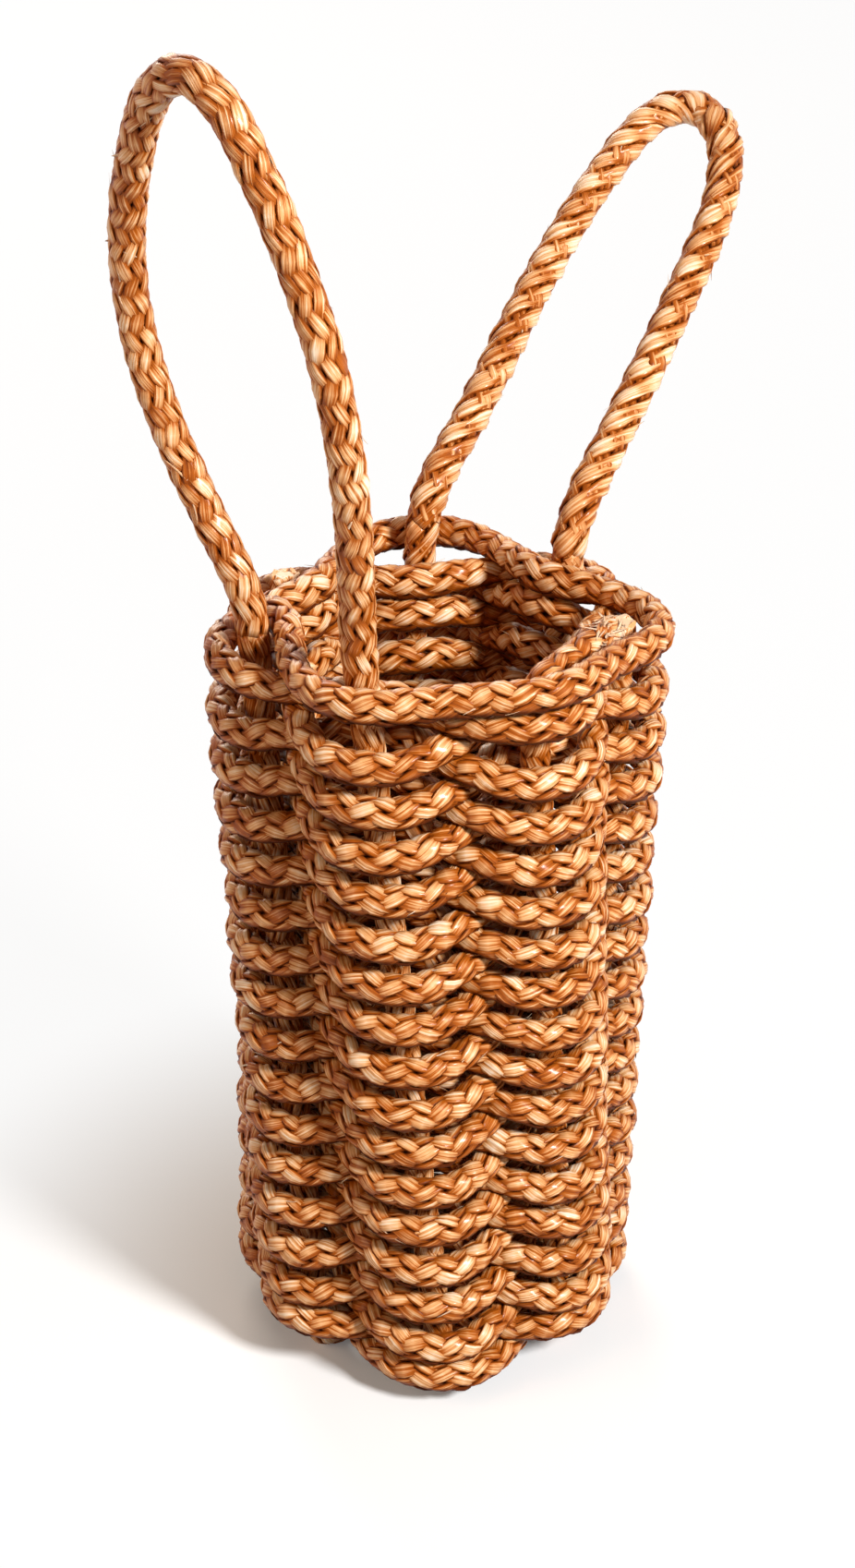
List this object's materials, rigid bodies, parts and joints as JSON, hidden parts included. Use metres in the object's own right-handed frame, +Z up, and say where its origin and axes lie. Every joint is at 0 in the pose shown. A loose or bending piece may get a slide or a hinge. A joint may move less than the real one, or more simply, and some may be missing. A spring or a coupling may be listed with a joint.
{
  "type": "rope bottle carrier",
  "caption": "Hand-woven rope carrier for a single bottle: round open tub with slanted stakes, over-and-under weave, coiled floor and two folding rope loop handles.",
  "frame": {"origin": "middle of the floor's underside, on the ground that the carrier stands on", "axes": "+Z up, -Y towards the front, +X to the right seen from the front"},
  "size_m": [0.2006, 0.2594, 0.4606],
  "materials": {
    "stake_rope": "braided natural fibre",
    "weaver_rope": "braided natural fibre",
    "handle_rope": "braided natural fibre"
  },
  "bodies": {
    "basket": {"stake_a": "stake_rope", "stake_b": "stake_rope", "stake_c": "stake_rope", "stake_d": "stake_rope", "stake_e": "stake_rope", "stake_f": "stake_rope", "stake_g": "stake_rope", "weave_course_01": "weaver_rope", "weave_course_02": "weaver_rope", "weave_course_03": "weaver_rope", "weave_course_04": "weaver_rope", "weave_course_05": "weaver_rope", "weave_course_06": "weaver_rope", "weave_course_07": "weaver_rope", "weave_course_08": "weaver_rope", "weave_course_09": "weaver_rope", "weave_course_10": "weaver_rope", "weave_course_11": "weaver_rope", "weave_course_12": "weaver_rope", "weave_course_13": "weaver_rope", "weave_course_14": "weaver_rope", "weave_course_15": "weaver_rope", "weave_course_16": "weaver_rope", "weave_course_17": "weaver_rope", "weave_course_18": "weaver_rope", "weave_course_19": "weaver_rope", "weave_course_20": "weaver_rope", "weave_course_21": "weaver_rope", "weave_course_22": "weaver_rope", "weave_course_23": "weaver_rope", "weave_course_24": "weaver_rope", "weave_course_25": "weaver_rope", "weave_course_26": "weaver_rope", "weave_course_27": "weaver_rope", "weave_course_28": "weaver_rope", "weave_course_29": "weaver_rope", "weave_course_30": "weaver_rope", "weave_course_31": "weaver_rope", "weave_course_32": "weaver_rope", "weave_start": "weaver_rope", "floor_coil": "weaver_rope"},
    "near_handle": {"near_handle": "handle_rope"},
    "far_handle": {"far_handle": "handle_rope"}
  },
  "joints": [
    {"name": "near_handle_fold", "type": "hinge", "parent": "basket", "child": "near_handle", "pos_m": [-0.0571, -0.0164, 0.27708], "axis": [0.6658, -0.7461, 0], "range_deg": [-26, 80]},
    {"name": "far_handle_fold", "type": "hinge", "parent": "basket", "child": "far_handle", "pos_m": [0.04433, 0.03955, 0.27708], "axis": [-0.9236, 0.3834, 0], "range_deg": [-68, 38]}
  ]
}
